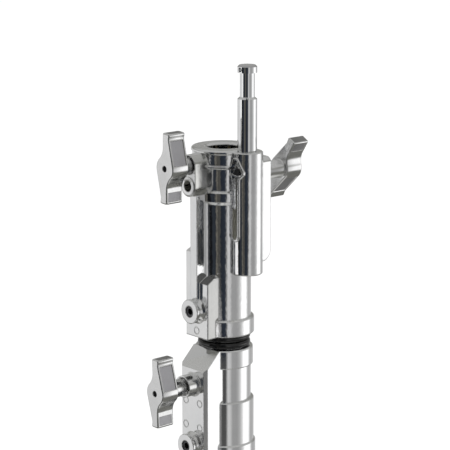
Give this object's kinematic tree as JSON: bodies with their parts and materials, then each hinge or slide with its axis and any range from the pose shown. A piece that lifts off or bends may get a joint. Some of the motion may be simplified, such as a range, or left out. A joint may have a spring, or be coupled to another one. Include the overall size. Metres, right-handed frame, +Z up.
{
  "type": "combo stand",
  "caption": "Folding three-legged steel stand with telescoping clamped risers and a cast head that takes a large stud or a sliding spigot.",
  "frame": {"origin": "point on the floor under the mast's axis", "axes": "+Z up along the mast, clamp handles facing -Y, spigot housing at +X"},
  "size_m": [1.018, 0.8861, 1.3392],
  "materials": {
    "casting": "polished plating over a cast body, satin on its flat faces",
    "handle": "polished plating over a cast body",
    "tube": "bright plated tube",
    "spigot_steel": "bright plated bar",
    "bar": "bright plated flat bar",
    "screw": "zinc plated",
    "dark_steel": "blackened",
    "brass": "turned",
    "guide_plastic": "moulded, matt",
    "rubber": "moulded, slightly shiny"
  },
  "bodies": {
    "column": {"base_tube": "tube", "base_end_cap": "guide_plastic", "base_collar": "casting", "base_collar_bush": "guide_plastic", "base_collar_set_screw": "dark_steel", "brace_bracket": "casting", "brace_bolts": "screw"},
    "lower_riser": {"lower_riser_tube": "tube", "lower_riser_foot": "guide_plastic", "lower_rubber_rings": "rubber", "riser_collar": "casting", "riser_collar_bush": "guide_plastic", "riser_collar_set_screw": "dark_steel"},
    "upper_riser": {"upper_riser_tube": "tube", "upper_riser_foot": "guide_plastic", "upper_rubber_rings": "rubber", "head_casting": "casting", "head_set_screw": "dark_steel"},
    "spigot": {"spigot": "spigot_steel", "spigot_guide_pin": "dark_steel"},
    "receiver_pad": {"receiver_pad": "brass"},
    "receiver_handle": {"receiver_handle": "handle", "receiver_screw": "screw"},
    "spigot_pad": {"spigot_pad": "brass"},
    "spigot_handle": {"spigot_handle": "handle", "spigot_screw": "screw"},
    "upper_clamp_shoe": {"upper_clamp_shoe": "brass"},
    "upper_clamp_handle": {"upper_clamp_handle": "handle", "upper_clamp_screw": "screw"},
    "lower_clamp_shoe": {"lower_clamp_shoe": "brass"},
    "lower_clamp_handle": {"lower_clamp_handle": "handle", "lower_clamp_screw": "screw"},
    "leg_collar": {"leg_collar": "casting", "leg_bolts": "screw"},
    "leg_clamp_shoe": {"leg_clamp_shoe": "brass"},
    "leg_clamp_handle": {"leg_clamp_handle": "handle", "leg_clamp_screw": "screw"},
    "leg_1": {"leg_top_1": "casting", "leg_tube_1": "tube", "leg_saddle_1": "casting", "leg_foot_1": "rubber"},
    "brace_1": {"brace_1": "bar"},
    "leg_2": {"leg_top_2": "casting", "leg_tube_2": "tube", "leg_saddle_2": "casting", "leg_foot_2": "rubber"},
    "brace_2": {"brace_2": "bar"},
    "leg_3": {"leg_top_3": "casting", "leg_tube_3": "tube", "leg_saddle_3": "casting", "leg_foot_3": "rubber"},
    "brace_3": {"brace_3": "bar"}
  },
  "joints": [
    {"name": "lower_riser_slide", "type": "slide", "parent": "column", "child": "lower_riser", "axis": [0, 0, 1], "range_m": [0, 0.75]},
    {"name": "upper_riser_slide", "type": "slide", "parent": "lower_riser", "child": "upper_riser", "axis": [0, 0, 1], "range_m": [0, 0.8]},
    {"name": "spigot_slide", "type": "slide", "parent": "upper_riser", "child": "spigot", "axis": [0, 0, 1], "range_m": [-0.052, 0]},
    {"name": "receiver_pad_slide", "type": "slide", "parent": "upper_riser", "child": "receiver_pad", "axis": [0, -1, 0], "range_m": [-0.003, 0.0015]},
    {"name": "receiver_handle_turn", "type": "hinge", "parent": "receiver_pad", "child": "receiver_handle", "pos_m": [0, 0, 1.2584], "axis": [0, -1, 0], "range_deg": [-720, 360]},
    {"name": "spigot_pad_slide", "type": "slide", "parent": "upper_riser", "child": "spigot_pad", "axis": [0, 1, 0], "range_m": [0, 0.00225]},
    {"name": "spigot_handle_turn", "type": "hinge", "parent": "spigot_pad", "child": "spigot_handle", "pos_m": [0.02798, 0, 1.2506], "axis": [0, 1, 0], "range_deg": [0, 540]},
    {"name": "upper_clamp_shoe_slide", "type": "slide", "parent": "lower_riser", "child": "upper_clamp_shoe", "axis": [0, -1, 0], "range_m": [0, 0.00225]},
    {"name": "upper_clamp_handle_turn", "type": "hinge", "parent": "upper_clamp_shoe", "child": "upper_clamp_handle", "pos_m": [0, 0, 1.0735], "axis": [0, -1, 0], "range_deg": [0, 540]},
    {"name": "lower_clamp_shoe_slide", "type": "slide", "parent": "column", "child": "lower_clamp_shoe", "axis": [0, -1, 0], "range_m": [0, 0.00225]},
    {"name": "lower_clamp_handle_turn", "type": "hinge", "parent": "lower_clamp_shoe", "child": "lower_clamp_handle", "pos_m": [0, 0, 0.9592], "axis": [0, -1, 0], "range_deg": [0, 540]},
    {"name": "leg_collar_slide", "type": "slide", "parent": "column", "child": "leg_collar", "axis": [0, 0, 1], "range_m": [0, 0.2897]},
    {"name": "leg_clamp_shoe_slide", "type": "slide", "parent": "leg_collar", "child": "leg_clamp_shoe", "axis": [0, -1, 0], "range_m": [0, 0.00225]},
    {"name": "leg_clamp_handle_turn", "type": "hinge", "parent": "leg_clamp_shoe", "child": "leg_clamp_handle", "pos_m": [0, 0, 0.43], "axis": [0, -1, 0], "range_deg": [0, 540]},
    {"name": "leg_1_fold", "type": "hinge", "parent": "leg_collar", "child": "leg_1", "pos_m": [0, 0.046, 0.43], "axis": [-1, 0, 0], "range_deg": [0, 47]},
    {"name": "brace_1_fold", "type": "hinge", "parent": "column", "child": "brace_1", "pos_m": [0, 0.044, 0.085], "axis": [1, 0, 0], "range_deg": [0, 58.82]},
    {"name": "leg_2_fold", "type": "hinge", "parent": "leg_collar", "child": "leg_2", "pos_m": [-0.03984, -0.023, 0.43], "axis": [0.5, -0.866, 0], "range_deg": [0, 47]},
    {"name": "brace_2_fold", "type": "hinge", "parent": "column", "child": "brace_2", "pos_m": [-0.0381, -0.022, 0.085], "axis": [-0.5, 0.866, 0], "range_deg": [0, 58.82]},
    {"name": "leg_3_fold", "type": "hinge", "parent": "leg_collar", "child": "leg_3", "pos_m": [0.03984, -0.023, 0.43], "axis": [0.5, 0.866, 0], "range_deg": [0, 47]},
    {"name": "brace_3_fold", "type": "hinge", "parent": "column", "child": "brace_3", "pos_m": [0.0381, -0.022, 0.085], "axis": [-0.5, -0.866, 0], "range_deg": [0, 58.82]}
  ],
  "couplings": [
    {"joint": "receiver_pad_slide", "follows": "receiver_handle_turn", "m_per_rad": 0.00023873},
    {"joint": "spigot_pad_slide", "follows": "spigot_handle_turn", "m_per_rad": 0.00023873},
    {"joint": "upper_clamp_shoe_slide", "follows": "upper_clamp_handle_turn", "m_per_rad": 0.00023873},
    {"joint": "lower_clamp_shoe_slide", "follows": "lower_clamp_handle_turn", "m_per_rad": 0.00023873},
    {"joint": "leg_clamp_shoe_slide", "follows": "leg_clamp_handle_turn", "m_per_rad": 0.00023873},
    {"joint": "leg_1_fold", "follows": "leg_collar_slide", "rad_per_m": 2.8307},
    {"joint": "brace_1_fold", "follows": "leg_collar_slide", "rad_per_m": 3.5428},
    {"joint": "leg_2_fold", "follows": "leg_collar_slide", "rad_per_m": 2.8307},
    {"joint": "brace_2_fold", "follows": "leg_collar_slide", "rad_per_m": 3.5428},
    {"joint": "leg_3_fold", "follows": "leg_collar_slide", "rad_per_m": 2.8307},
    {"joint": "brace_3_fold", "follows": "leg_collar_slide", "rad_per_m": 3.5428}
  ]
}
